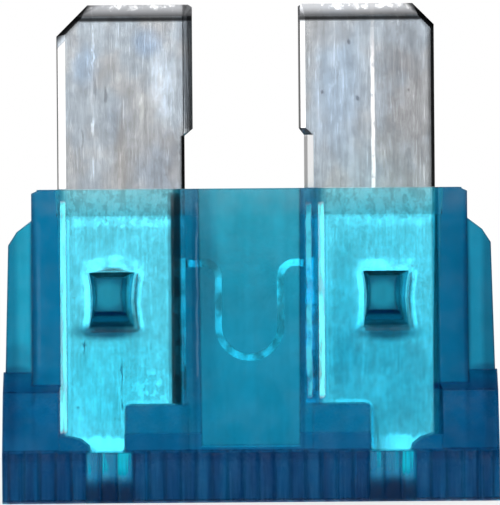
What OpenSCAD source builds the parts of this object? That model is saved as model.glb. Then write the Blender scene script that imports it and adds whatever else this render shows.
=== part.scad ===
// Automotive blade fuse, regular size: a stamped metal element with two flat terminals,
// held in a moulded see-through housing. It stands on the end face of its head, terminals up.
// X runs across the terminals, Y through the thickness, Z from the head's end face to the tips.

/* [Head] */
// Width across the head
head_w = 19.1; // [18.8:0.1:19.4]
// Thickness of the head over its grip ribs
head_t = 5.1; // [5:0.1:5.4]
// Height of the ribbed rim
rim_h = 1.95; // [1.7:0.05:2]
// Spacing of the grip ribs
rib_pitch = 0.605; // [0.5:0.005:0.8]
// How far a grip rib stands proud
rib_depth = 0.1; // [0.08:0.01:0.2]
// Height of the grip blocks at both ends of the head
ear_h = 5.05; // [4.8:0.05:5.4]
// Thickness of the grip blocks
ear_t = 4.7; // [4.5:0.1:4.9]
// Width of the test window in front of each terminal's tab
window_w = 1.8; // [1.5:0.1:1.9]
// Thickness of the test window
window_t = 2; // [1:0.1:2]

/* [Body] */
// Height of the housing
body_h = 12.05; // [11.8:0.05:12.4]
// Width of the body between its guide wings
body_w = 16.74; // [16.6:0.02:16.8]
// Thickness of the side bars
bar_t = 3.8; // [3.6:0.1:4]
// Thickness of the recessed panels over the terminals
panel_t = 2; // [1.9:0.05:2.3]
// Width of the raised middle that holds the fuse link
middle_w = 5.82; // [5.6:0.02:5.9]
// Thickness of the raised middle
middle_t = 4.3; // [4.1:0.1:4.5]
// Width across the guide wings
wing_w = 18.7; // [18.5:0.05:18.75]
// Thickness of the guide wings
wing_t = 2.2; // [1.8:0.1:2.4]
// Height at which the guide wings reach the body
wing_top = 10.87; // [10.6:0.01:11]
// How much thicker a moulded wall is at the head than at the mouth
draft = 0.16; // [0.1:0.02:0.2]

/* [Cavities] */
// Width of the link chamber
chamber_w = 3.86; // [3.7:0.02:4]
// Depth of the link chamber from front to back at the mouth
chamber_t = 2.45; // [2.2:0.05:2.6]
// Depth of the link chamber at its floor
chamber_floor_t = 1.45; // [1:0.05:2]
// Height of the slot's floor under the terminals' notches
notch_floor_z = 2.62; // [2.4:0.02:3.4]
// Thickness of the slot that holds the element
slot_t = 0.75; // [0.74:0.01:0.8]
// Depth of the lead-in at the slot's mouth
lead_in_h = 1.05; // [0.8:0.05:1.2]
// Thickness of the slot at its mouth
mouth_t = 1.26; // [1.1:0.02:1.4]
// Distance of each stake pit from the middle
pit_x = 5.27; // [5.2:0.01:5.3]
// Height of the stake pits
pit_z = 7.76; // [7.6:0.02:8]

/* [Element] */
// Thickness of the metal
metal_t = 0.65; // [0.6:0.01:0.66]
// Distance over both terminals
terminals_w = 14.54; // [14.4:0.02:14.54]
// Gap between the terminals at their tips
tip_gap = 4.08; // [4.06:0.02:4.3]
// How much wider the left and the right tip is than the shank below it
tip_steps = [0.32, 0.2]; // [0.15:0.01:0.35]
// Height of the terminals' tips
tip_z = 19.15; // [18.6:0.05:19.6]
// Height at which the tips start to be wider than the shanks
step_z = 14.1; // [13.6:0.1:14.6]
// Outer corner cut of the left and the right tip
corner_cuts = [1.2, 0.82]; // [0.6:0.02:1.3]
// Thickness left at a coined edge
coin_t = 0.3; // [0.25:0.05:0.4]
// Coined bevel across the end of each tip
end_bevel = 0.5; // [0.3:0.02:0.56]
// Coined bevel along the corner cuts
cut_bevel = 0.19; // [0.1:0.01:0.25]
// Coined bevels along the outer edges of the left and the right terminal
outer_bevels = [0.34, 0.13]; // [0.1:0.01:0.4]
// Coined bevels along the inner edges of the left and the right tip
tip_bevels = [0.38, 0.27]; // [0.2:0.01:0.38]
// Coined bevels along the inner edges of the left and the right shank
shank_bevels = [0.12, 0.36]; // [0.12:0.01:0.4]
// Height of the terminals' lower edge on the inner side
notch_z = 3.79; // [3.6:0.01:3.9]
// Width of the square hole that the housing is staked through
hole_w = 1.5; // [1.4:0.05:1.6]
// Height of that hole
hole_h = 1.9; // [1.8:0.05:2.1]
// How far off the middle the element sits in its slot
element_shift = -0.11; // [-0.12:0.01:0.12]

/* [Link] */
// Width of the fuse link's strip
link_w = 0.27; // [0.2:0.01:0.4]
// Thickness of the fuse link's strip
link_t = 0.3; // [0.2:0.05:0.4]
// Height at which the link leaves the terminals
link_z = 9.16; // [8.9:0.02:9.4]
// Radius of the link's loop, at the middle of the strip
loop_r = 1.2; // [1:0.05:1.3]
// Height of the centre of the loop
loop_z = 6.72; // [6.5:0.02:7]
// Radius of the bends above the loop, at the middle of the strip
bend_r = 0.55; // [0.4:0.05:0.6]
// How far off the element's middle the loop hangs
loop_x = 0.1; // [0:0.02:0.15]

/* [Hidden] */

$fn = 48;
cut = 0.01;          // overlap of joined forms
clearance = 0.02;    // gap between a staked plug and its hole
bar_inner_x = 7.04;            // inner side of the bars and the grip blocks, at the panel
side_slope = 0.26;             // how much the sides facing the terminals lean, per mm of thickness
chamber_floor_z = 2.1;
window_x = 5.4;
tab_x = [4.75, 6.2];           // inner side of the tab in its terminal, outer side in the housing
tab_z = rim_h;                 // lower end of the test tab
shoulder_z = 2.46;             // lower end of the terminal beside the tab
shoulder_slope = [0.3, 0.25];  // width and height of the slope between the tab and that end
shoulder_rise = 0.15;          // how much that end rises towards the outer edge
foot_gap = 0.04;               // room between the metal and the thick feet beside the tab
coined_z = body_h + 0.03;      // lower end of the coined bevels
foot_taper = 0.22;             // how much the outer edge comes in towards the head
notch_r = 0.32;                // inner corner between the tab and the terminal's lower edge
step_h = 0.27;                 // height over which a tip widens
slot_end_gap = 0.15;           // room at the outer edges of the terminals
pit_mouth = [1.9, 2.26];
pit_pinch = 0.15;              // how far the pit's upright sides are drawn in at mid-height
pit_floor = 0.58;              // size of the floor beside its mouth
pit_floor_y = 0.45;
pit_lean = [-0.15, 0.24];      // how far the floor sits off the middle of its mouth
lip_foot = [2.7, 3.1];         // raised lip that the staking leaves round each pit
lip_crest = [1.7, 2.1];        // the pit's mouth cuts the crest away
lip_h = 0.09;

// Extrudes an XZ outline through the thickness.
module across(t) {
    rotate([90, 0, 0])
        linear_extrude(height = t, center = true)
            children();
}

// Extrudes a YZ outline along the width.
module along(w) {
    rotate([90, 0, 90])
        linear_extrude(height = w, center = true)
            children();
}

// An upright trapezium, symmetric about its axis.
module trapezium(foot, top, z0, z1) {
    polygon([[-foot / 2, z0], [foot / 2, z0], [top / 2, z1], [-top / 2, z1]]);
}

// A block whose four sides all have draft: size is [x, y] at the foot and at the top.
module drafted(foot, top, z0, z1) {
    big = 2 * max(foot[0], foot[1], top[0], top[1]);
    intersection() {
        across(big) trapezium(foot[0], top[0], z0, z1);
        along(big) trapezium(foot[1], top[1], z0, z1);
    }
}

// Makes a second copy on the other side of the middle.
module both_sides() {
    children();
    mirror([1, 0, 0]) children();
}

// Makes a second copy on the back face.
module both_faces() {
    children();
    mirror([0, 1, 0]) children();
}

// Inner side of a tab as it sits in the housing: side is -1 for the left terminal, 1 for the right.
function tab_inner(side) = tab_x[0] + side * element_shift;

/* Housing */

// One face of the rim: elliptical ribs that meet in sharp grooves.
function rib_face() = let (n = floor(head_w / rib_pitch), base = head_t / 2 - rib_depth) [
    for (i = [0 : n - 1])
        for (a = [0 : 30 : 150])
            [(i - n / 2 + (1 - cos(a)) / 2) * rib_pitch, base + rib_depth * sin(a)]
];

module rim() {
    front = rib_face();
    base = head_t / 2 - rib_depth;
    back = [for (i = [len(front) - 1 : -1 : 0]) [front[i][0], -front[i][1]]];
    edge = [[head_w / 2, base], [head_w / 2, -base]];
    far_edge = [[-head_w / 2, -base], [-head_w / 2, base]];
    bevel = 0.08;
    intersection() {
        linear_extrude(height = rim_h)
            polygon(concat(front, edge, back, far_edge));
        along(head_w + 1)
            polygon([
                [-head_t / 2 + bevel, 0], [head_t / 2 - bevel, 0],
                [head_t / 2, bevel], [head_t / 2, rim_h - bevel / 2],
                [head_t / 2 - bevel / 2, rim_h], [-head_t / 2 + bevel / 2, rim_h],
                [-head_t / 2, rim_h - bevel / 2], [-head_t / 2, bevel]
            ]);
    }
}

// Distance from the middle to a side that leans back from x0 at the panel, at y from the middle plane.
function leaning(x0, y) = x0 + side_slope * (y - panel_t / 2);

// Room beside the right-hand terminal, which its bar and grip block fill.
module beside_terminal() {
    far_y = head_t / 2 + 0.5;
    linear_extrude(height = body_h + 1)
        polygon([
            [bar_inner_x, panel_t / 2], [leaning(bar_inner_x, far_y), far_y], [head_w, far_y],
            [head_w, -far_y], [leaning(bar_inner_x, far_y), -far_y], [bar_inner_x, -panel_t / 2]
        ]);
}

// Grip block at one end of the head, with a top that slopes into the wing.
module ear() {
    top_z = 4.25;
    foot_t = ear_t / 2 + draft / 4;
    intersection() {
        beside_terminal();
        across(head_t + 1)
            polygon([
                [bar_inner_x - 1, rim_h - cut], [head_w / 2, rim_h - cut],
                [head_w / 2 - 0.06, ear_h], [bar_inner_x - 1, ear_h]
            ]);
        along(2 * head_w)
            polygon([
                [-foot_t, rim_h - cut], [foot_t, rim_h - cut], [ear_t / 2, top_z],
                [wing_t / 2 - 0.05, ear_h], [-wing_t / 2 + 0.05, ear_h], [-ear_t / 2, top_z]
            ]);
    }
}

// Thin guide wing with a two-step upper corner.
module wing() {
    foot_x = wing_w / 2 + 0.06;
    intersection() {
        across(head_t)
            polygon([
                [body_w / 2 - 1, rim_h - cut], [foot_x, rim_h - cut], [foot_x, ear_h],
                [wing_w / 2 - 0.07, wing_top - 0.95], [wing_w / 2 - 0.4, wing_top - 0.44],
                [body_w / 2, wing_top], [body_w / 2 - 1, wing_top]
            ]);
        along(2 * head_w) trapezium(wing_t + draft, wing_t - draft / 2, 0, body_h);
    }
}

// Thick upright bar outside each terminal, with a cut corner at the mouth.
module bar() {
    intersection() {
        beside_terminal();
        across(head_t)
            polygon([
                [bar_inner_x - 1, rim_h - cut], [body_w / 2 + 0.03, rim_h - cut],
                [body_w / 2, body_h - 0.15], [body_w / 2 - 0.32, body_h],
                [bar_inner_x - 1, body_h]
            ]);
        along(2 * head_w) trapezium(bar_t + draft, bar_t - draft, rim_h - cut, body_h);
    }
}

// Raised middle that holds the link, with sides that lean towards the terminals.
module middle_block() {
    foot_x = middle_w / 2;
    near_y = panel_t / 2;
    far_y = head_t / 2;
    far_x = foot_x - side_slope * (far_y - near_y);
    intersection() {
        linear_extrude(height = body_h)
            polygon([
                [-foot_x, -near_y], [-far_x, -far_y], [far_x, -far_y], [foot_x, -near_y],
                [foot_x, near_y], [far_x, far_y], [-far_x, far_y], [-foot_x, near_y]
            ]);
        along(2 * head_w) trapezium(middle_t + draft, middle_t - draft, rim_h - cut, body_h);
    }
}

// Thick foot of the raised middle, under the notch of one terminal.
module middle_foot(side) {
    inner_x = middle_w / 2 - 0.5;
    outer_x = tab_inner(side) - foot_gap;
    width = outer_x - inner_x;
    foot_t = middle_t + 0.3;
    translate([side * (inner_x + width / 2), 0, 0])
        drafted(
            [width, foot_t + draft / 4], [width - 0.04, foot_t],
            rim_h - cut, notch_z - 0.04
        );
}

// Thick foot of a bar, under the shoulder of the right-hand terminal.
module bar_foot() {
    inner_x = tab_x[1] + foot_gap;
    outer_x = bar_inner_x + 1;
    top_z = shoulder_z - foot_gap;
    across(ear_t)
        polygon([
            [inner_x, rim_h - cut], [outer_x, rim_h - cut], [outer_x, top_z + shoulder_rise],
            [bar_inner_x, top_z + shoulder_rise], [inner_x + shoulder_slope[0], top_z],
            [inner_x, top_z - shoulder_slope[1]]
        ]);
}

// One side of the slot's outline: beside the notch, down round the tab, and up along the terminal.
function slot_side(side) = let (
    mouth_x = terminals_w / 2 + slot_end_gap,
    foot_x = mouth_x - foot_taper + foot_gap,
    step_x = tab_inner(side) - foot_gap - cut,
    outer_x = tab_x[1] + foot_gap + cut,
    floor_z = tab_z - 0.06,
    shoulder_floor_z = shoulder_z - foot_gap - cut
) [
    [step_x, notch_floor_z], [step_x, floor_z],
    [outer_x, floor_z], [outer_x, shoulder_floor_z - shoulder_slope[1]],
    [outer_x + shoulder_slope[0], shoulder_floor_z],
    [foot_x, shoulder_floor_z + shoulder_rise], [mouth_x, body_h + 1]
];

// Cavity for the element: its outline with room to spare, shallower between the test tabs.
module slot() {
    right = slot_side(1);
    opposite = slot_side(-1);
    left = [for (i = [len(opposite) - 1 : -1 : 0]) [-opposite[i][0], opposite[i][1]]];
    intersection() {
        across(head_t) polygon(concat(left, right));
        along(2 * head_w) trapezium(slot_t - 0.02, slot_t + 0.02, 0, body_h + 2);
    }
}

module lead_in() {
    z0 = body_h - lead_in_h;
    rise = 0.5;
    grow = (mouth_t - slot_t) * rise / lead_in_h;
    width = terminals_w + 2 * slot_end_gap;
    drafted(
        [width, slot_t], [width + 0.1, mouth_t + grow],
        z0, body_h + rise
    );
}

module chamber() {
    drafted(
        [chamber_w - 0.06, chamber_floor_t], [chamber_w + 0.06, chamber_t],
        chamber_floor_z, body_h + cut
    );
}

// Square window through the end face to the tab, a little wider at the end face.
module test_window() {
    translate([window_x, 0, 0])
        drafted(
            [window_w + 0.1, window_t + 0.1], [window_w, window_t],
            -cut, rim_h - 0.03
        );
}

// Outline of a stake pit's mouth: upright sides drawn in at mid-height.
module pit_outline() {
    w = pit_mouth[0] / 2;
    h = pit_mouth[1] / 2;
    drawn_in = w - 0.7 * pit_pinch;
    side = [[w, -h], [drawn_in, -h / 2], [w - pit_pinch, 0], [drawn_in, h / 2], [w, h]];
    polygon(concat(side, -side));
}

// Stake pit pressed into the front face: its walls taper to a floor that sits off the middle.
module stake_pit(x) {
    past = 0.3;
    depth = panel_t / 2 + lip_h - pit_floor_y;
    grown = pit_floor + (1 - pit_floor) * (depth + past) / depth;
    apex = pit_lean / (1 - pit_floor);
    translate([x, 0, pit_z])
        rotate([90, 0, 0])
            translate([apex[0], apex[1], pit_floor_y])
                linear_extrude(height = depth + past, scale = grown / pit_floor)
                    scale(pit_floor)
                        translate(-apex)
                            pit_outline();
}

module stake_lip() {
    translate([pit_x, 0, pit_z])
        rotate([90, 0, 0])
            drafted(lip_foot, lip_crest, panel_t / 2 - 0.1, panel_t / 2 + lip_h);
}

// Plastic that the staking has pushed through the terminal's hole.
module stake_plug(x) {
    size = [hole_w - 2 * clearance, slot_t + 0.1, hole_h - 2 * clearance];
    translate([x + element_shift, 0, pit_z])
        cube(size, center = true);
}

module housing() {
    color([0.06, 0.5, 0.68, 0.6])
    difference() {
        union() {
            difference() {
                union() {
                    rim();
                    drafted(
                        [body_w + 0.06, panel_t + draft], [body_w - 0.4, panel_t - draft / 2],
                        rim_h - cut, body_h
                    );
                    middle_block();
                    for (side = [-1, 1])
                        middle_foot(side);
                    both_sides() {
                        bar_foot();
                        bar();
                        wing();
                        ear();
                        both_faces() stake_lip();
                    }
                }
                slot();
                lead_in();
                chamber();
                both_sides() test_window();
            }
            for (side = [-1, 1])
                stake_plug(side * pit_x);
        }
        for (side = [-1, 1])
            both_faces() stake_pit(side * pit_x);
    }
}

/* Fuse element */

// A plate with coined bevels on both faces: its outline, and the smaller flat that is left between them.
module coined_plate(outline, flat) {
    hull() {
        across(coin_t) polygon(outline);
        across(metal_t) polygon(flat);
    }
}

// Inner side of a shank. Here and below, i picks the left or the right terminal's sizes.
function shank_inner(i) = tip_gap / 2 + tip_steps[i];

// Tip of the right-hand terminal, from the step up.
module tip(i) {
    outer = terminals_w / 2;
    inner = tip_gap / 2;
    cut_z = tip_z - corner_cuts[i];
    flat_outer = outer - outer_bevels[i];
    flat_inner = inner + tip_bevels[i];
    flat_top = tip_z - end_bevel;
    diagonal = outer + cut_z - cut_bevel * sqrt(2);
    nick = [0.15, 0.1];
    coined_plate(
        [
            [inner, step_z + step_h], [shank_inner(i), step_z], [outer, step_z], [outer, cut_z],
            [outer - corner_cuts[i], tip_z], [inner + nick[0], tip_z], [inner, tip_z - nick[1]]
        ],
        [
            [flat_inner, step_z + step_h], [shank_inner(i) + shank_bevels[i], step_z],
            [flat_outer, step_z], [flat_outer, diagonal - flat_outer],
            [diagonal - flat_top, flat_top], [flat_inner, flat_top]
        ]
    );
}

// Coined shank of the right-hand terminal, between the housing and the step.
module shank(i) {
    outer = terminals_w / 2;
    inner = shank_inner(i);
    z0 = coined_z - cut;
    z1 = step_z + cut;
    coined_plate(
        [[inner, z0], [outer, z0], [outer, z1], [inner, z1]],
        [
            [inner + shank_bevels[i], z0], [outer - outer_bevels[i], z0],
            [outer - outer_bevels[i], z1], [inner + shank_bevels[i], z1]
        ]
    );
}

// Uncoined plate inside the housing: shank, test tab and the shoulder beside it.
module inner_plate(i) {
    outer = terminals_w / 2;
    inner = shank_inner(i);
    foot = outer - foot_taper * (body_h - notch_z) / body_h;
    tab_outer = tab_x[1] + (i == 0 ? element_shift : -element_shift);
    corner = 0.1;
    across(metal_t) {
        polygon([
            [inner, notch_z], [tab_x[0], notch_z], [tab_x[0], tab_z + 2 * corner],
            [tab_x[0] + corner, tab_z], [tab_outer - corner, tab_z],
            [tab_outer, shoulder_z - shoulder_slope[1]], [tab_outer + shoulder_slope[0], shoulder_z],
            [foot - corner, shoulder_z + shoulder_rise], [foot, notch_z],
            [outer, body_h], [outer, coined_z], [inner, coined_z]
        ]);
        translate([tab_x[0] - notch_r, notch_z - notch_r])
            difference() {
                square(notch_r + cut);
                circle(notch_r);
            }
    }
}

// Right-hand terminal: tip, shank and test tab are one sheet with a square hole.
module terminal(i) {
    difference() {
        union() {
            tip(i);
            shank(i);
            inner_plate(i);
        }
        translate([pit_x, 0, pit_z])
            cube([hole_w, 2 * metal_t, hole_h], center = true);
    }
}

// Quarter of the strip's bend, centred on the origin.
module bend(r, from) {
    intersection() {
        difference() {
            circle(r + link_w / 2);
            circle(r - link_w / 2);
        }
        rotate(from) square(2 * r);
    }
}

module link() {
    upper_z = link_z - bend_r;
    reach = max(shank_inner(0), shank_inner(1)) + 0.1;
    across(link_t) {
        translate([loop_x, loop_z]) {
            bend(loop_r, 180);
            bend(loop_r, 270);
        }
        for (side = [-1, 1]) {
            leg_x = loop_x + side * loop_r;
            translate([leg_x - link_w / 2, loop_z - cut])
                square([link_w, upper_z - loop_z + 2 * cut]);
            translate([leg_x + side * bend_r, upper_z])
                bend(bend_r, side > 0 ? 90 : 0);
            end_x = leg_x + side * (bend_r - cut);
            translate([min(end_x, side * reach), link_z - link_w / 2])
                square([abs(side * reach - end_x), link_w]);
        }
    }
}

module fuse_element() {
    color([0.78, 0.8, 0.82])
    translate([element_shift, 0, 0]) {
        terminal(1);
        mirror([1, 0, 0]) terminal(0);
        link();
    }
}

housing();
fuse_element();
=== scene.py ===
"""Looks of the automotive blade fuse: see-through housing, brushed element, floor, light, camera."""

import math

import bpy
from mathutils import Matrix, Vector


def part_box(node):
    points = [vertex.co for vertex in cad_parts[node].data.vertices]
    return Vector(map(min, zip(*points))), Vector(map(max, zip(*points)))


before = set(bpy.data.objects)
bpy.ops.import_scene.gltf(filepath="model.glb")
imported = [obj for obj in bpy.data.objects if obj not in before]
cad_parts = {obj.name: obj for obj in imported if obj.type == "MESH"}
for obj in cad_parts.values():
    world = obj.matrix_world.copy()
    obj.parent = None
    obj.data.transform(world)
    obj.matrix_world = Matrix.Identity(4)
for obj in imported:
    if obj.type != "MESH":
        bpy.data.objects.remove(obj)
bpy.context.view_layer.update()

MM = 0.001

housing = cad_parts["housing"]
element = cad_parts["fuse_element"]
housing_low, housing_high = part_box("housing")
element_low, element_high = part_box("fuse_element")
HEAD_W = housing_high[0] - housing_low[0]

# Places in millimetres, for the materials
MOUTH = housing_high[2] / MM             # height of the housing's mouth
TIP = element_high[2] / MM               # height of the terminals' tips
TIP_FOOT = 14.0                          # height at which the tips start to be wider
SHIFT = (element_low[0] + element_high[0]) / 2 / MM    # how far off the middle the element sits
STAKE = (5.27, 7.76)                     # middle of the right-hand stake pit
LEAD_IN = 1.2                            # depth at which the lead-in's end marks the metal
NOTCH = (4.75, 3.79)                     # corner of the right-hand terminal's notch
NOTCH_R = 0.32                           # its radius
RIM = 1.95                               # height of the ribbed rim, where the test tabs end
TAB = (4.6, 6.25)                        # inner and outer edge of the right-hand test tab
LEFT_CUT = (-7.38, 17.95)                # a point on the slanting corner cut of each tip
RIGHT_CUT = (7.16, 18.33)


# ---------------------------------------------------------------- node helpers

class Tree:
    """Short calls for building a node tree."""

    def __init__(self, tree):
        self.tree = tree
        tree.nodes.clear()

    def add(self, kind, _inputs=None, **settings):
        node = self.tree.nodes.new(kind)
        for name, value in settings.items():
            setattr(node, name, value)
        for name, value in (_inputs or {}).items():
            self.set(node.inputs[name], value)
        return node

    def set(self, socket, value):
        if isinstance(value, bpy.types.NodeSocket):
            self.tree.links.new(value, socket)
        else:
            socket.default_value = value

    def math(self, operation, *values):
        node = self.add("ShaderNodeMath", operation=operation)
        for socket, value in zip(node.inputs, values):
            self.set(socket, value)
        return node.outputs[0]

    def total(self, *values):
        result = values[0]
        for value in values[1:]:
            result = self.math("ADD", result, value)
        return result

    def product(self, *values):
        result = values[0]
        for value in values[1:]:
            result = self.math("MULTIPLY", result, value)
        return result

    def largest(self, *values):
        result = values[0]
        for value in values[1:]:
            result = self.math("MAXIMUM", result, value)
        return result

    def inverse(self, value):
        return self.math("SUBTRACT", 1.0, value)

    def mix(self, factor, a, b, **settings):
        """Colour a where factor is 0 and b where it is 1."""
        node = self.add("ShaderNodeMix", data_type="RGBA", **settings)
        for index, value in ((0, factor), (6, a), (7, b)):
            self.set(node.inputs[index], value)
        return node.outputs[2]

    def mix_ways(self, factor, a, b):
        """Direction a where factor is 0 and b where it is 1."""
        node = self.add("ShaderNodeMix", data_type="VECTOR")
        for index, value in ((0, factor), (4, a), (5, b)):
            self.set(node.inputs[index], value)
        return node.outputs[1]

    def vector(self, operation, *values):
        node = self.add("ShaderNodeVectorMath", operation=operation)
        for socket, value in zip(node.inputs, values):
            self.set(socket, value)
        return node.outputs[0]

    def scaled(self, vector, level):
        node = self.add("ShaderNodeVectorMath", {"Scale": level}, operation="SCALE")
        self.set(node.inputs[0], vector)
        return node.outputs[0]

    def span(self, value, low, high, to_low=0.0, to_high=1.0):
        """Maps value from low..high to to_low..to_high, smoothly and clamped."""
        node = self.add(
            "ShaderNodeMapRange",
            {"Value": value, "From Min": low, "From Max": high,
             "To Min": to_low, "To Max": to_high},
            interpolation_type="SMOOTHSTEP",
        )
        return node.outputs["Result"]

    def band(self, value, low, high, soft):
        """1 between low and high, falling to 0 over soft on both sides."""
        return self.math(
            "MULTIPLY",
            self.span(value, low - soft, low),
            self.span(value, high + soft, high),
        )


def material_tree(name):
    material = bpy.data.materials.new(name)
    material.use_nodes = True
    return material, Tree(material.node_tree)


def millimetres(tree, stretch=(1, 1, 1)):
    """Object coordinates in millimetres, stretched along each axis."""
    place = tree.add("ShaderNodeTexCoord").outputs["Object"]
    scale = Vector(stretch) / MM
    return tree.add("ShaderNodeMapping", {"Vector": place, "Scale": scale}).outputs[0]


def axes(tree):
    """X, Y and Z of the object in millimetres."""
    split = tree.add("ShaderNodeSeparateXYZ", {"Vector": millimetres(tree)})
    return split.outputs["X"], split.outputs["Y"], split.outputs["Z"]


def facing(tree):
    """The way that the surface faces, split into X, Y and Z."""
    normal = tree.add("ShaderNodeNewGeometry").outputs["True Normal"]
    return tree.add("ShaderNodeSeparateXYZ", {"Vector": normal}).outputs


def noise(tree, stretch, detail=2.0, rough=0.5):
    """Noise with so many bumps to the millimetre along each axis."""
    return tree.add(
        "ShaderNodeTexNoise",
        {"Vector": millimetres(tree, stretch), "Scale": 1.0, "Detail": detail, "Roughness": rough},
    ).outputs["Fac"]


def length(tree, across, up):
    """How long a step of so much across and up is."""
    return tree.math("SQRT", tree.total(tree.product(across, across), tree.product(up, up)))


def spot(tree, x, z, middle, half, soft=0.5):
    """1 inside an upright ellipse, falling to 0 over soft times its size."""
    across = tree.math("DIVIDE", tree.math("SUBTRACT", x, middle[0]), half[0])
    up = tree.math("DIVIDE", tree.math("SUBTRACT", z, middle[1]), half[1])
    return tree.span(length(tree, across, up), 1 + soft, 1 - soft)


def tinted(tree, colour, amount, tone):
    """The colour multiplied by tone where amount is 1."""
    return tree.mix(amount, colour, (*tone, 1), blend_type="MULTIPLY", clamp_result=True)


# ---------------------------------------------------------------- plastic

# What its depth lets through, how fast that grows, and how strongly it bends light
BLUE = (0.05, 0.775, 0.87, 1)
BLUE_DENSITY = 2000.0                    # to the metre
PLASTIC_IOR = 1.56

# Tones of its surface
CLEAR = (1, 1, 1, 1)
RIM_STREAK = (0.4, 0.42, 0.56)
# painted shade in a band under the ledge at the rim's top
RIM_TOP_SHADE = (0.8, 0.75, 0.8)
WINDOW_BLUE = (0.3, 0.92, 1.0)           # test windows, in front of the tabs
# Painted shade in the stake pits, lighter where light is painted on their floors
PIT_SHADE = (0.011, 0.165, 0.25, 1)
PIT_FLOOR_PAINTED_LIGHT = (0.063, 0.4, 0.5, 1)
LEFT_SHADE = (0.28, 0.44, 0.46, 1)       # painted shade on steep sides that face left, by the half that they are in
RIGHT_SHADE = (0.12, 0.34, 0.4, 1)
LINE_HIGHLIGHT_BLUE = (0.11, 0.8, 1.0, 1)          # painted highlights on upright lines, in the rim and on steep sides
STREAK_LIGHT_BLUE = (0.0, 0.8, 1, 1)
SIDE_HIGHLIGHT_BLUE = (0.2, 0.96, 1, 1)

# Painted shade and painted light on the housing, on both faces: place, half size, tone
PAINTED_SHADE_AND_LIGHT = [
    ((8.9, 7.0), (0.75, 6.0), (0.8, 0.7, 0.76)),           # painted shade on the right-hand wing
    ((9.25, 7.0), (0.3, 5.0), (0.6, 0.62, 0.66)),          # painted shade along the outer edges of the wings
    ((-9.25, 7.0), (0.3, 5.0), (0.6, 0.66, 0.72)),
    ((8.36, 7.6), (0.13, 4.2), (0.6, 0.6, 0.66)),          # painted shade where the wings meet the bars
    ((-8.34, 7.6), (0.13, 4.2), (0.6, 0.6, 0.66)),
    ((7.8, 7.6), (0.6, 6.0), (0.9, 0.78, 0.8)),            # painted shade on the right-hand bar
    ((9.1, 5.05), (0.6, 0.2), (0.7, 0.62, 0.7)),           # painted shade at the feet of the wings
    ((-9.0, 5.05), (0.6, 0.2), (0.7, 0.62, 0.7)),
    ((2.02, 7.4), (0.1, 5.6), (0.6, 0.6, 0.66)),           # painted shade by the walls of the link chamber
    ((-2.1, 7.4), (0.12, 5.6), (0.7, 0.68, 0.72)),
    ((-1.75, 7.6), (0.5, 5.0), (0.95, 0.82, 0.84)),
    ((-2.45, 7.4), (0.32, 6.0), (0.8, 0.8, 0.78)),         # painted shade on the left-hand half of the middle
    ((5.4, 0.3), (1.0, 0.6), (0.8, 0.3, 0.4)),             # painted shade at the foot of the test windows
    ((-5.4, 0.3), (1.0, 0.6), (0.8, 0.3, 0.4)),
    ((-9.0, 4.7), (1.4, 0.5), (0.9, 0.8, 0.84)),           # painted shade on the tops of the grip blocks
    ((9.0, 4.7), (1.4, 0.5), (0.95, 0.92, 0.95)),
    ((-9.0, 5.6), (0.7, 0.5), (0.85, 0.76, 0.8)),
    ((-8.0, 3.5), (0.42, 0.42), (1.4, 1.4, 1.4)),          # painted pool of light in the left-hand block
    ((-9.3, 3.2), (0.5, 1.0), (0.9, 0.8, 0.86)),
    ((8.3, 2.4), (1.6, 0.5), (0.95, 0.9, 0.93)),
    ((8.6, 3.6), (1.2, 1.0), (1.2, 1.12, 1.12)),
]

# Painted highlights on upright lines where the moulding catches the light:
# middle, half width, lower end, upper end, strength
GLINTS = [
    (2.28, 0.07, 4.2, 11.3, 0.8),
    (-2.02, 0.03, 5.0, 11.4, 0.12),
    (-8.1, 0.05, 5.5, 10.6, 0.03),
]


def in_stake_pit(tree, x, y, z):
    """1 on the walls and the floor of the stake pits."""
    across = tree.math("ABSOLUTE", tree.math("SUBTRACT", tree.math("ABSOLUTE", x), STAKE[0]))
    up = tree.math("ABSOLUTE", tree.math("SUBTRACT", z, STAKE[1]))
    # Past the slot that holds the metal, and short of the panel's face
    deep = tree.band(tree.math("ABSOLUTE", y), 0.42, 0.95, 0.03)
    return tree.product(tree.span(across, 1.1, 1.0), tree.span(up, 1.25, 1.15), deep)


def glints(tree, x, z, uneven):
    """How strongly the painted highlights on the upright lines of the front show."""
    wobble = tree.product(tree.math("SUBTRACT", uneven, 0.5), 0.2)
    broken = tree.span(uneven, 0.36, 0.56, 0.25, 1.0)
    total = 0.0
    for middle, half, low, high, strength in GLINTS:
        line = tree.band(tree.math("ADD", x, wobble), middle - half, middle + half, half * 0.8)
        line = tree.product(line, tree.band(z, low, high, 0.25), strength)
        total = tree.math("ADD", total, line)
    return tree.product(total, broken)


def side_glints(tree, x, z, uneven):
    """The brightest painted highlights, lines along the sides of the left-hand bar and of the raised
    middle.
    """
    lines = tree.largest(
        tree.product(tree.band(x, -7.28, -7.1, 0.06), tree.band(z, 2.9, 11.4, 0.3)),
        tree.product(tree.band(x, 2.68, 2.84, 0.05), tree.band(z, 4.2, 11.3, 0.3)),
    )
    return tree.product(lines, tree.span(uneven, 0.36, 0.56, 0.45, 1.0))


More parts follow.
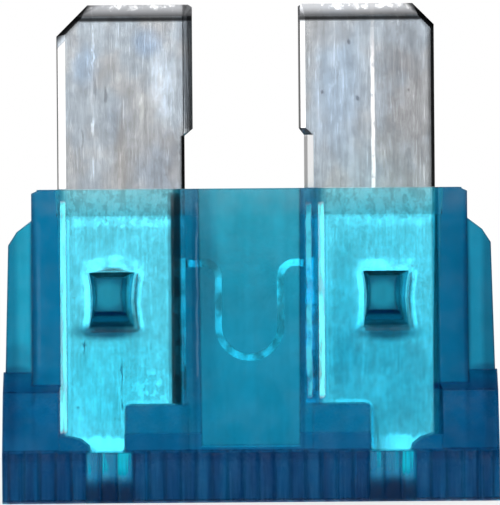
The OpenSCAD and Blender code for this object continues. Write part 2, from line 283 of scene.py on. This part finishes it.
def stake_arcs(tree, x, z):
    """Painted highlights over and beside the stakes, where the raised lips and the metal under them
    catch the light.
    """
    side = tree.math("ABSOLUTE", x)
    broken = tree.span(noise(tree, (1.6, 1.6, 1.6), detail=3), 0.38, 0.54, 0.15, 1.0)
    above = tree.math("SUBTRACT", z, STAKE[1])
    bow = tree.product(above, above)
    across = tree.math("ABSOLUTE", tree.math("SUBTRACT", side, STAKE[0]))
    flank = tree.band(tree.math("SUBTRACT", across, tree.product(bow, 0.12)), 0.88, 1.02, 0.1)
    flank = tree.product(flank, tree.band(z, STAKE[1] - 0.9, STAKE[1] + 0.9, 0.35))
    arch = tree.product(tree.span(across, 1.15, 0.0), tree.span(x, 0.1, -0.1), 0.22)
    up = tree.math("SUBTRACT", z, tree.math("ADD", arch, STAKE[1]))
    top = tree.product(tree.band(up, 1.12, 1.46, 0.16), tree.span(across, 1.3, 0.85))
    return tree.largest(flank, tree.product(top, broken))


def painted_light_streaks(tree, side, z):
    """Painted light: bright upright streaks in the rim, below the ends of the test tabs."""
    streaks = tree.span(noise(tree, (2.8, 0.4, 0.15), detail=3, rough=0.6), 0.42, 0.6, 0.15, 1.0)
    below_tab = tree.band(side, TAB[0] + 0.05, TAB[1] - 0.05, 0.12)
    high = tree.product(tree.span(z, 0.7, 1.5), tree.span(z, RIM, RIM - 0.05))
    return tree.product(below_tab, high, streaks)


def plastic_tint(tree, x, y, z, pit, window):
    """Clouds and flow lines in the blue, with painted shade and painted light: patches, the rim's top
    and the stake pits.
    """
    clouds = noise(tree, (0.8, 0.8, 0.8), detail=4, rough=0.55)
    flow = noise(tree, (3.0, 3.0, 0.25), detail=3, rough=0.55)
    skin = tree.span(tree.math("ABSOLUTE", y), 0.9, 1.0)
    tone = tree.product(
        tree.span(clouds, 0.32, 0.66, 0.87, 1.0), tree.span(flow, 0.3, 0.7, 0.9, 1.0)
    )
    tint = tree.mix(skin, CLEAR, tree.scaled((1, 1, 1), tone))
    for middle, half, mark in PAINTED_SHADE_AND_LIGHT:
        tint = tinted(tree, tint, tree.product(spot(tree, x, z, middle, half), skin), mark)
    rim = tree.product(tree.span(z, RIM + 0.03, RIM - 0.02), tree.inverse(window))
    streaks = tree.span(noise(tree, (1.5, 0.3, 0.12), detail=4, rough=0.65), 0.38, 0.6, 0.0, 1.0)
    tint = tinted(tree, tint, tree.product(rim, skin, streaks), RIM_STREAK)
    tint = tinted(tree, tint, tree.product(window, skin), WINDOW_BLUE)
    # painted shade under the ledge at the top of the rim
    tint = tinted(tree, tint, tree.product(rim, tree.band(z, RIM - 0.25, RIM, 0.2)), RIM_TOP_SHADE)
    # painted light on the floors of the stake pits
    lit_floor = tree.largest(
        spot(tree, x, z, (5.1, 7.95), (0.58, 0.52), 0.4),
        spot(tree, x, z, (-5.45, 7.98), (0.62, 0.52), 0.4),
    )
    lit_floor = tree.product(lit_floor, tree.span(flow, 0.3, 0.6, 0.8, 1.0))
    return tree.mix(pit, tint, tree.mix(lit_floor, PIT_SHADE, PIT_FLOOR_PAINTED_LIGHT))


def straight_out(tree, mirror):
    """A normal that points ahead, a little to the right where the side carries a painted, metallic
    highlight.

    Light that comes out of the plastic meets the surface from behind and needs it turned round.
    """
    inside_hit = tree.add("ShaderNodeNewGeometry").outputs["Backfacing"]
    ahead = tree.add("ShaderNodeCombineXYZ", {"Y": tree.span(inside_hit, 0.4, 0.6, -1.0, 1.0)})
    to_right = tree.scaled((0.1, 0.0, 0.05), tree.span(mirror, 0.0, 0.1))
    return tree.vector("ADD", ahead.outputs[0], to_right)


def housing_plastic():
    """Blue polycarbonate: clear surface with a light haze, colour by absorption in the depth, with
    painted shade and light in its tint.
    """
    material, tree = material_tree("housing_plastic")
    x, y, z = axes(tree)
    uneven = noise(tree, (1.4, 1.4, 0.8), detail=4)
    soft_edges = tree.add("ShaderNodeBevel", {"Radius": 0.1 * MM}, samples=2)
    bump = tree.add(
        "ShaderNodeBump",
        {"Height": uneven, "Strength": 0.25, "Distance": 0.04 * MM, "Normal": soft_edges.outputs[0]},
    )
    worn = noise(tree, (1.2, 1.2, 1.2), detail=5, rough=0.65)
    rough = tree.span(worn, 0.35, 0.7, 0.04, 0.12)

    side = tree.math("ABSOLUTE", x)
    front = tree.span(y, -0.95, -1.05)
    pit = in_stake_pit(tree, x, y, z)
    window = tree.product(tree.band(side, *TAB, 0.1), tree.span(z, RIM + 0.05, RIM))
    tint = plastic_tint(tree, x, y, z, pit, window)

    # The steep sides of the bars and of the raised middle: painted highlights on those that face right,
    # painted shade on those that face left
    way = facing(tree)["X"]
    beside = tree.product(front, tree.span(side, 8.0, 7.9), tree.span(z, 2.2, 2.4))
    bright_side = tree.product(beside, tree.span(way, 0.85, 0.93))
    dark_side = tree.product(beside, tree.span(way, -0.85, -0.93))
    dark = tree.mix(tree.span(x, 0.0, 0.1), LEFT_SHADE, RIGHT_SHADE)
    tint = tree.mix(dark_side, tree.mix(bright_side, tint, CLEAR), dark)

    lines = tree.product(glints(tree, x, z, uneven), front)
    arcs = tree.product(stake_arcs(tree, x, z), front)
    streak_light = tree.product(painted_light_streaks(tree, side, z), front, 0.6)
    # Painted highlight: a metallic strip on the bright sides stands in for light caught there
    mirror = tree.product(bright_side, side_glints(tree, x, z, uneven), 0.45)
    # Painted highlights coloured into the tint
    for glint, colour in ((lines, LINE_HIGHLIGHT_BLUE), (streak_light, STREAK_LIGHT_BLUE), (mirror, SIDE_HIGHLIGHT_BLUE)):
        tint = tree.mix(tree.span(glint, 0.0, 0.3), tint, colour)
    # clear painted highlights on the arcs round the stakes
    tint = tree.mix(arcs, tint, CLEAR)
    haze = tree.product(
        tree.span(worn, 0.36, 0.7, 0.003, 0.016), tree.span(z, RIM - 0.05, RIM, 0.3, 1.0)
    )
    mouth = tree.product(
        tree.span(z, MOUTH - 1.2, MOUTH - 0.5), tree.span(worn, 0.3, 0.6, 0.012, 0.045)
    )
    foot = tree.span(z, 0.12, 0.04, 0.0, 0.09)
    scattered = tree.total(haze, mouth, foot, lines, streak_light, tree.product(bright_side, 0.1))
    flat = tree.largest(bright_side, dark_side, arcs, tree.span(lines, 0.05, 0.2))
    normal = tree.mix_ways(flat, bump.outputs[0], straight_out(tree, mirror))

    lip = tree.product(spot(tree, side, z, STAKE, (1.3, 1.5), 0.1), front)
    shine = tree.mix(lip, (0.16, 0.16, 0.16, 1), (0.4, 0.4, 0.4, 1))
    surface = tree.add(
        "ShaderNodeBsdfPrincipled",
        {"Base Color": tint, "Transmission Weight": tree.inverse(scattered), "IOR": PLASTIC_IOR,
         "Specular Tint": shine, "Metallic": mirror,
         "Roughness": tree.total(rough, tree.product(pit, 0.15)), "Normal": normal},
    )
    depth = tree.add("ShaderNodeVolumeAbsorption", {"Color": BLUE, "Density": BLUE_DENSITY})
    tree.add(
        "ShaderNodeOutputMaterial",
        {"Surface": surface.outputs[0], "Volume": depth.outputs[0]},
    )
    return material


# ---------------------------------------------------------------- metal

PLATING = ((0.52, 0.54, 0.56, 1), (0.49, 0.555, 0.62, 1))     # plain and bluish
COVERED_PAINTED_LIGHTER = (0.9, 0.99, 1.0)               # seen through the plastic: a lit copy of the plating, painted lighter
# painted highlight on the left-hand bevels, which face the light
BEVEL = (0.7, 0.7, 0.705, 1)
# painted highlight along a ridge line
RIDGE_HIGHLIGHT = (0.8, 0.79, 0.8, 1)
TIP_END = ((0.42, 0.43, 0.45, 1), (0.95, 0.96, 0.98, 1))      # its grey and its specks
LINK_SHADE_AND_HIGHLIGHT = ((0.12, 0.12, 0.115, 1), (1.0, 0.9, 0.86, 1))          # painted shade on its edges and a painted highlight on its middle

# Marks, painted highlights and painted shade on the front face: place, half size, and the tone that they
# multiply the metal by
MARKS_AND_PAINTED_LIGHT = [
    ((-6.26, 16.8), (0.45, 0.7), (0.9, 1.0, 1.12)),        # bluish patches
    ((-3.87, 17.7), (0.5, 0.5), (0.84, 0.95, 1.1)),
    ((-3.3, 16.1), (0.36, 1.7), (1.4, 1.42, 1.45)),        # painted highlight on a streak
    ((-5.99, 14.4), (0.05, 0.3), (1.8, 1.8, 1.8)),         # nick
    ((-5.98, 17.6), (0.03, 1.2), (1.5, 1.5, 1.5)),
    ((-4.9, 13.4), (0.2, 1.5), (0.86, 0.83, 0.8)),         # brown smudge
    ((-3.4, 13.0), (1.0, 1.0), (0.84, 0.84, 0.86)),
    ((-6.4, 14.0), (0.04, 0.3), (0.6, 0.6, 0.6)),
    ((-5.9, 15.9), (0.05, 0.35), (0.65, 0.65, 0.66)),
    ((-5.5, 15.7), (0.05, 0.3), (0.65, 0.65, 0.66)),
    ((3.4, 16.0), (0.9, 2.4), (0.93, 1.02, 1.12)),
    ((6.0, 15.6), (1.1, 3.4), (0.78, 0.77, 0.77)),
    ((5.9, 16.9), (0.6, 0.6), (0.86, 0.84, 0.83)),
    ((3.91, 17.68), (0.06, 0.09), (0.5, 0.5, 0.52)),       # small dents
    ((2.86, 15.75), (0.07, 0.07), (0.55, 0.55, 0.58)),
    ((4.2, 15.5), (0.07, 0.1), (0.5, 0.52, 0.55)),
    ((6.13, 15.8), (0.05, 0.06), (0.6, 0.6, 0.6)),
    ((-6.4, 6.0), (0.04, 0.25), (0.3, 0.4, 0.45)),         # slits in the covered part
    ((-4.96, 4.9), (0.035, 0.5), (0.35, 0.45, 0.5)),
    ((-4.93, 3.75), (0.04, 0.2), (0.35, 0.45, 0.5)),
    ((-6.63, 3.66), (0.06, 0.06), (0.4, 0.5, 0.55)),
    ((-5.5, 6.58), (1.15, 0.3), (0.06, 0.16, 0.22)),       # shade below the stakes
    ((5.3, 6.48), (1.05, 0.28), (0.08, 0.26, 0.32)),
    ((5.0, 4.6), (2.9, 2.6), (0.45, 0.72, 0.78)),          # painted shade on the lower end on the right
    ((3.6, 6.9), (0.6, 2.6), (0.6, 0.84, 0.88)),
    ((-5.2, 4.6), (1.8, 2.0), (0.68, 1.0, 1.02)),
    ((4.9, 8.0), (2.6, 4.6), (0.76, 0.97, 1.0)),
    ((-4.1, 15.2), (0.08, 0.5), (1.4, 1.4, 1.36)),
    ((-4.95, 14.6), (0.5, 0.9), (0.86, 0.88, 0.91)),
]


def with_marks_and_painted_light(tree, colour, x, y, z):
    """The colour with the marks, painted highlights and painted shade of the front face on it."""
    worn = tree.product(tree.math("SUBTRACT", noise(tree, (6, 6, 2), detail=3), 0.5), 0.3)
    wavy_x = tree.math("ADD", x, worn)
    front = tree.span(y, 0.0, -0.1)
    for middle, half, tone in MARKS_AND_PAINTED_LIGHT:
        amount = tree.product(spot(tree, wavy_x, z, middle, half, 0.6), front)
        colour = tinted(tree, colour, amount, tone)
    # The raised middle of the housing shades the metal beside it
    below_mouth = tree.product(tree.span(z, MOUTH, MOUTH - 0.4), front)
    for low, high, tone in ((-3.1, -2.35, (0.6, 0.6, 0.62)), (-2.98, -2.7, (0.05, 0.09, 0.11))):
        shade = tree.product(tree.band(x, low, high, 0.08), below_mouth)
        colour = tinted(tree, colour, shade, tone)
    return colour


def past_notch(tree, side, z):
    """Distance from the outline of the notch, into the metal."""
    across = tree.math("SUBTRACT", side, NOTCH[0] - NOTCH_R)
    up = tree.math("SUBTRACT", z, NOTCH[1] - NOTCH_R)
    across = tree.math("MAXIMUM", across, 0.0)
    up = tree.math("MAXIMUM", up, 0.0)
    return tree.math("SUBTRACT", length(tree, across, up), NOTCH_R)


def in_tip(tree, z):
    """1 on the wider tips, above their step."""
    return tree.span(z, TIP_FOOT, TIP_FOOT + 0.2)


def lit_edges(tree, x, z, wave):
    """1 where the covered metal gets painted highlights as it turns up to the light: rims, stakes, tab
    ends and the lead-in's end.
    """
    side = tree.math("ABSOLUTE", tree.math("SUBTRACT", x, SHIFT))
    depth = tree.math("ADD", tree.math("SUBTRACT", MOUTH, z), wave)
    sparkle = tree.span(noise(tree, (4, 4, 3), detail=3, rough=0.6), 0.42, 0.6)
    lead = tree.product(
        tree.band(depth, LEAD_IN, LEAD_IN + 0.2, 0.1), tree.span(sparkle, 0, 1, 0.45, 1.0),
        tree.span(x, -1, 1, 1.0, 0.55),
    )
    stakes = tree.product(spot(tree, side, z, (STAKE[0], STAKE[1] + 0.3), (1.15, 1.2), 0.2), 0.6)
    covered = tree.span(depth, LEAD_IN - 0.2, LEAD_IN)
    outer = tree.product(tree.band(x, -7.3, -6.95, 0.15), covered)
    left_foot = tree.product(tree.span(x, -5.9, -6.9), tree.span(z, 5.6, 3.0), 0.8)
    notch = tree.product(
        tree.span(past_notch(tree, side, z), 0.17, 0.1), tree.span(x, -7, 2, 0.4, 1.0),
        tree.span(z, NOTCH[1] + 0.3, NOTCH[1] + 0.2),
    )
    tab = tree.product(tree.span(tree.math("ADD", z, wave), RIM + 0.7, RIM + 0.45), 1.35)
    speckled_highlight = tree.product(
        spot(tree, x, z, (-3.6, 4.4), (0.9, 0.8), 0.5), tree.span(sparkle, 0.5, 1.0), 0.8
    )
    inner = tree.product(tree.band(x, 2.55, 3.0, 0.06), covered)
    return tree.largest(lead, stakes, outer, inner, left_foot, notch, tab, speckled_highlight)


def painted_edge_shade(tree, x, z, below_tip):
    """Painted shade on the bare terminals, at their right-hand edges, corner cuts and bevelled tips.

    Also gives the left-hand corner cut by itself.
    """
    upper = in_tip(tree, z)
    lower = tree.inverse(upper)
    on_left = tree.span(x, 0.1, 0.0)
    left_upper = tree.product(tree.span(x, -2.68, -2.28), upper, on_left, 0.55)
    left_lower = tree.product(tree.span(x, -2.7, -2.54), lower, on_left)
    right_outer = tree.product(tree.span(x, 6.8, 7.08), 0.8)
    right_root = tree.product(tree.band(x, 2.0, 2.25, 0.03), lower, 0.6)
    left_cut = tree.math(
        "SUBTRACT", tree.math("SUBTRACT", x, LEFT_CUT[0]), tree.math("SUBTRACT", z, LEFT_CUT[1])
    )
    right_cut = tree.math(
        "SUBTRACT", tree.math("SUBTRACT", RIGHT_CUT[0], x), tree.math("SUBTRACT", z, RIGHT_CUT[1])
    )
    left_cut = tree.product(tree.span(left_cut, 0.55, 0.05), on_left)
    right_cut = tree.product(tree.span(right_cut, 0.5, 0.1), tree.span(x, 0.0, 0.1))
    # painted shade along the crease below the tip's bevel
    crease = tree.product(tree.span(below_tip, 0.05, 0.56), tree.span(below_tip, 0.7, 0.59))
    dark = tree.largest(
        crease, left_upper, left_lower, right_outer, right_root, left_cut, right_cut
    )
    return dark, left_cut


def bare_metal(tree, x, z, medium, below_tip, normal_x):
    """Colour of the terminals above the housing, and their ridge, end band and left-hand bevel, with
    painted highlights and painted shade.
    """
    patches = noise(tree, (0.55, 0.55, 0.4), detail=3)
    mottle = noise(tree, (2.2, 2.2, 1.3), detail=4, rough=0.6)
    streaks = noise(tree, (5, 5, 0.16), detail=3, rough=0.55)
    scratch = noise(tree, (10, 10, 0.5), detail=2)
    tone = tree.product(
        tree.span(medium, 0.34, 0.66, 0.95, 1.04),
        tree.span(mottle, 0.34, 0.66, 0.86, 1.1),
        tree.span(streaks, 0.4, 0.62, 0.95, 1.07),
        tree.span(scratch, 0.64, 0.74, 1.0, 1.35),
    )
    colour = tree.scaled(tree.mix(tree.span(patches, 0.4, 0.6), *PLATING), tone)
    end_band = tree.span(below_tip, 0.48, 0.42)
    rag = noise(tree, (3.4, 3.4, 3.4), detail=4, rough=0.6)
    specks = tree.math("ADD", rag, tree.span(below_tip, 0.05, 0.36, 0.08, -0.12))
    grey = tree.mix(tree.span(specks, 0.53, 0.73), *TIP_END)
    grey = tree.scaled(grey, tree.span(x, -1.0, 1.0, 1.0, 1.3))
    colour = tree.mix(end_band, colour, grey)
    dark, left_cut = painted_edge_shade(tree, x, z, below_tip)
    left_bevel = tree.product(
        tree.span(normal_x, -0.15, -0.3), tree.span(below_tip, 0.6, 0.8),
        tree.span(left_cut, 0.1, 0.0),
    )
    ridge_x = tree.math("ADD", x, tree.product(mottle, 0.1))
    ridge = tree.product(
        tree.band(ridge_x, 4.8, 4.88, 0.07), tree.span(below_tip, 0.8, 2.5, 0.3, 1.0),
        tree.span(rag, 0.36, 0.5, 0.6, 1.0), tree.span(z, MOUTH - 0.9, MOUTH + 0.2),
    )
    # painted highlights on the left-hand bevels and along the ridge line
    colour = tree.mix(left_bevel, colour, BEVEL)
    colour = tree.mix(ridge, colour, RIDGE_HIGHLIGHT)
    # painted shade outlining the terminals' edges
    outline = tree.largest(
        tree.span(x, -7.31, -7.35),
        tree.product(tree.band(x, 1.85, 2.0, 0.03), in_tip(tree, z)),
        tree.span(normal_x, -0.6, -0.66), tree.span(normal_x, 0.78, 0.84),
    )
    dark = tree.largest(tree.product(dark, 0.93), tree.product(outline, 0.88))
    return tree.scaled(colour, tree.inverse(dark)), ridge, end_band, left_bevel


def link_metal(tree, z, facing_front):
    """Colour of the thin link: painted shade at its edges, and a painted highlight in the pale stripe
    along its middle.
    """
    uneven = tree.span(noise(tree, (1.1, 1.1, 1.1), detail=3), 0.38, 0.6, 0.4, 1.0)
    pale = tree.product(
        tree.span(facing_front, 0.97, 0.99), uneven, tree.span(z, 5.7, 8.2, 0.8, 1.0)
    )
    return tree.mix(pale, *LINK_SHADE_AND_HIGHLIGHT), pale


def covered_metal(tree, z, fine, medium, lit, jagged):
    """Colour of the metal inside the housing, painted lighter than the bare metal, duller in the
    lead-in.
    """
    clouds = noise(tree, (0.9, 0.9, 0.5), detail=4, rough=0.6)
    mottle = noise(tree, (4.5, 4.5, 3.0), detail=4, rough=0.62)
    depth = tree.math("ADD", tree.math("SUBTRACT", MOUTH, z), jagged)
    in_lead = tree.span(depth, LEAD_IN, LEAD_IN - 0.05)
    lead_tone = tree.product(
        tree.span(mottle, 0.34, 0.66, 0.72, 1.2), tree.span(fine, 0.35, 0.65, 0.92, 1.0)
    )
    clear_tone = tree.product(
        tree.span(medium, 0.3, 0.7, 0.92, 1.0),
        tree.span(mottle, 0.34, 0.66, 0.88, 1.06),
        tree.span(clouds, 0.35, 0.65, 0.88, 1.02),
    )
    # painted highlights on the lit edges
    clear_tone = tree.largest(clear_tone, lit)
    return tree.scaled(COVERED_PAINTED_LIGHTER, tree.total(
        tree.product(in_lead, lead_tone), tree.product(tree.inverse(in_lead), clear_tone)
    ))


def element_metal():
    """Plated stamping, brushed along the terminals."""
    material, tree = material_tree("element_metal")
    x, y, z = axes(tree)
    way = facing(tree)
    fine = noise(tree, (13, 13, 1.1), detail=4, rough=0.6)
    medium = noise(tree, (5, 5, 0.4), detail=3, rough=0.6)
    inside = tree.span(z, MOUTH + 0.02, MOUTH - 0.03)
    below_tip = tree.math("SUBTRACT", TIP, z)
    ragged = noise(tree, (3.6, 0.1, 0.1), detail=4, rough=0.6)
    jagged = tree.product(tree.math("SUBTRACT", ragged, 0.5), 0.55)
    lit = lit_edges(tree, x, z, jagged)
    in_link = tree.product(
        tree.band(x, -2.9, 2.7, 0.02), tree.span(z, 9.4, 9.35), tree.span(z, 4.2, 4.3)
    )

    bare, ridge, end_band, left_bevel = bare_metal(tree, x, z, medium, below_tip, way["X"])
    covered = covered_metal(tree, z, fine, medium, lit, jagged)
    link, pale = link_metal(tree, z, tree.product(way["Y"], -1.0))
    covered = tree.mix(in_link, covered, link)
    colour = with_marks_and_painted_light(tree, tree.mix(inside, bare, covered), x, y, z)

    height = tree.total(
        tree.product(fine, tree.span(inside, 0.0, 1.0, 0.12, 0.3)),
        tree.product(medium, tree.span(inside, 0.0, 1.0, 0.36, 0.45)),
    )
    bare_bevel = tree.product(left_bevel, tree.inverse(inside))
    height = tree.product(height, tree.span(bare_bevel, 1.0, 0.0))
    bump = tree.add("ShaderNodeBump", {"Height": height, "Strength": 1.0, "Distance": 0.02 * MM})

    # Where pressing has turned the metal: up and left to the light, or right beside the blocks
    lifted = tree.product(
        tree.span(x, -2.54, -2.46, 0.8, 2.2), tree.span(x, -2.5, -2.2, 1.0, 0.6),
        tree.band(x, -2.52, -2.1, 0.03), in_tip(tree, z),
    )
    to_light = tree.total(
        tree.product(tree.total(tree.product(lit, 0.62), 0.43), inside),
        tree.product(ridge, 0.4), tree.product(in_link, pale, 1.8),
        tree.product(stake_arcs(tree, x, z), inside), lifted,
    )
    beside_block = tree.product(
        tree.largest(tree.band(x, 2.6, 3.15, 0.2), tree.band(x, -7.6, -6.95, 0.2)), inside
    )
    lean = tree.mix_ways(beside_block, tree.scaled((-0.1, 0.0, 0.1), to_light), (0.1, 0, 0.03))
    normal = tree.vector("NORMALIZE", tree.vector("ADD", bump.outputs[0], lean))
    rough = tree.largest(tree.span(inside, 0.0, 1.0, 0.21, 0.25), tree.product(end_band, 0.4))
    surface = tree.add(
        "ShaderNodeBsdfPrincipled",
        {"Base Color": colour, "Metallic": 1.0, "Roughness": rough, "Normal": normal},
    )
    tree.add("ShaderNodeOutputMaterial", {"Surface": surface.outputs[0]})
    return material


def give(node, material):
    node.data.materials.clear()
    node.data.materials.append(material)


def soften(node, width, segments):
    """Rounds a node's edges as the real, moulded or stamped ones are, without touching its mesh."""
    flat = node.modifiers.new("flat faces", "DECIMATE")
    flat.decimate_type = "DISSOLVE"
    flat.angle_limit = math.radians(0.5)
    bevel = node.modifiers.new("soft edges", "BEVEL")
    bevel.width = width
    bevel.segments = segments
    bevel.limit_method = "ANGLE"
    bevel.angle_limit = math.radians(25)
    bevel.use_clamp_overlap = False


give(housing, housing_plastic())
give(element, element_metal())
soften(housing, 0.05 * MM, 2)
soften(element, 0.07 * MM, 3)


# ---------------------------------------------------------------- studio

def degrees(tree, angle):
    return tree.product(angle, 180 / math.pi)


def towards(azimuth, elevation):
    """The direction at so many degrees right of the camera and above it, as seen from the fuse."""
    azimuth, elevation = math.radians(azimuth), math.radians(elevation)
    level = math.cos(elevation)
    return (math.sin(azimuth) * level, -math.cos(azimuth) * level, math.sin(elevation))


def round_box(tree, way, middle, radius, soft, level):
    """A round softbox: its middle, radius and soft edge in degrees, and its brightness."""
    along = tree.add("ShaderNodeVectorMath", operation="DOT_PRODUCT")
    tree.set(along.inputs[0], way)
    tree.set(along.inputs[1], towards(*middle))
    off = degrees(tree, tree.math("ARCCOSINE", along.outputs["Value"]))
    return tree.span(off, radius + soft / 2, radius - soft / 2, 0.0, level)


def studio_world():
    """Softboxes for reflections, with a gap round the camera; white for what is seen or seen through."""
    world = bpy.data.worlds.new("studio")
    bpy.context.scene.world = world
    world.use_nodes = True
    tree = Tree(world.node_tree)
    way = tree.add("ShaderNodeTexCoord").outputs["Generated"]
    split = tree.add("ShaderNodeSeparateXYZ", {"Vector": way})
    x, y, z = split.outputs["X"], split.outputs["Y"], split.outputs["Z"]
    ahead = tree.product(y, -1.0)
    azimuth = degrees(tree, tree.math("ARCTAN2", x, ahead))
    elevation = degrees(tree, tree.math("ARCSINE", z))
    off_camera = degrees(tree, tree.math("ARCCOSINE", ahead))
    fill = round_box(tree, way, (-10, 8), 36, 8, 2.3)
    key = round_box(tree, way, (-26, 24), 12, 8, 2.3)
    strip = tree.product(
        tree.band(azimuth, -85, -56, 8), tree.band(elevation, -30, 30, 8), 2.0
    )
    boxes = tree.math("ADD", tree.largest(fill, strip), key)
    boxes = tree.product(boxes, tree.span(off_camera, 5.5, 7))
    back = tree.span(y, 0.55, 0.8)
    studio = tree.total(boxes, back, 0.05)
    ray = tree.add("ShaderNodeLightPath").outputs
    straight = tree.span(ray["Glossy Depth"], 0.6, 0.4)
    seen = tree.largest(ray["Is Camera Ray"], tree.product(ray["Is Transmission Ray"], straight))
    shown = tree.mix(seen, studio, (1, 1, 1, 1))
    background = tree.add("ShaderNodeBackground", {"Color": shown, "Strength": 1.0})
    tree.add("ShaderNodeOutputWorld", {"Surface": background.outputs[0]})


def floor():
    """A small pale table top, white where it is seen or mirrored, that still takes a shadow."""
    mesh = bpy.data.meshes.new("floor")
    half = 0.12
    corners = [(-half, -half, 0), (half, -half, 0), (half, half, 0), (-half, half, 0)]
    mesh.from_pydata(corners, [], [(0, 1, 2, 3)])
    plane = bpy.data.objects.new("floor", mesh)
    bpy.context.scene.collection.objects.link(plane)
    material, tree = material_tree("floor")
    matt = tree.add("ShaderNodeBsdfDiffuse", {"Color": (0.8, 0.8, 0.8, 1)})
    ray = tree.add("ShaderNodeLightPath").outputs
    seen = tree.largest(ray["Is Camera Ray"], ray["Is Glossy Ray"], ray["Is Transmission Ray"])
    glow = tree.add("ShaderNodeEmission", {"Strength": tree.product(seen, 0.6)})    # up to white
    both = tree.add("ShaderNodeAddShader")
    tree.set(both.inputs[0], matt.outputs[0])
    tree.set(both.inputs[1], glow.outputs[0])
    tree.add("ShaderNodeOutputMaterial", {"Surface": both.outputs[0]})
    mesh.materials.append(material)


def photo_camera():
    """Looks level along +Y from far away, leaning as the photo leans."""
    camera = bpy.data.objects.new("camera", bpy.data.cameras.new("camera"))
    bpy.context.scene.collection.objects.link(camera)
    lens = 1000.0
    head_share = 0.9916                  # share of the picture's width that the head fills
    picture_shape = 1.01                 # height of the picture over its width
    off_middle = (0.02, 0.01)            # how far the picture is off the fuse's middle, in mm
    lean = 0.43                          # in degrees
    frame_height = HEAD_W / head_share * picture_shape
    camera.data.sensor_width = 36.0
    camera.data.lens = lens
    distance = frame_height * lens / camera.data.sensor_width
    target = Vector((off_middle[0] * MM, 0, element_high[2] / 2 + off_middle[1] * MM))
    camera.location = target + Vector((0, -distance, 0))
    camera.rotation_euler = (math.radians(90), math.radians(lean), 0)
    camera.data.clip_start = distance * 0.01
    camera.data.clip_end = distance * 10
    bpy.context.scene.camera = camera


studio_world()
floor()
photo_camera()

scene = bpy.context.scene
scene.view_settings.view_transform = "Standard"
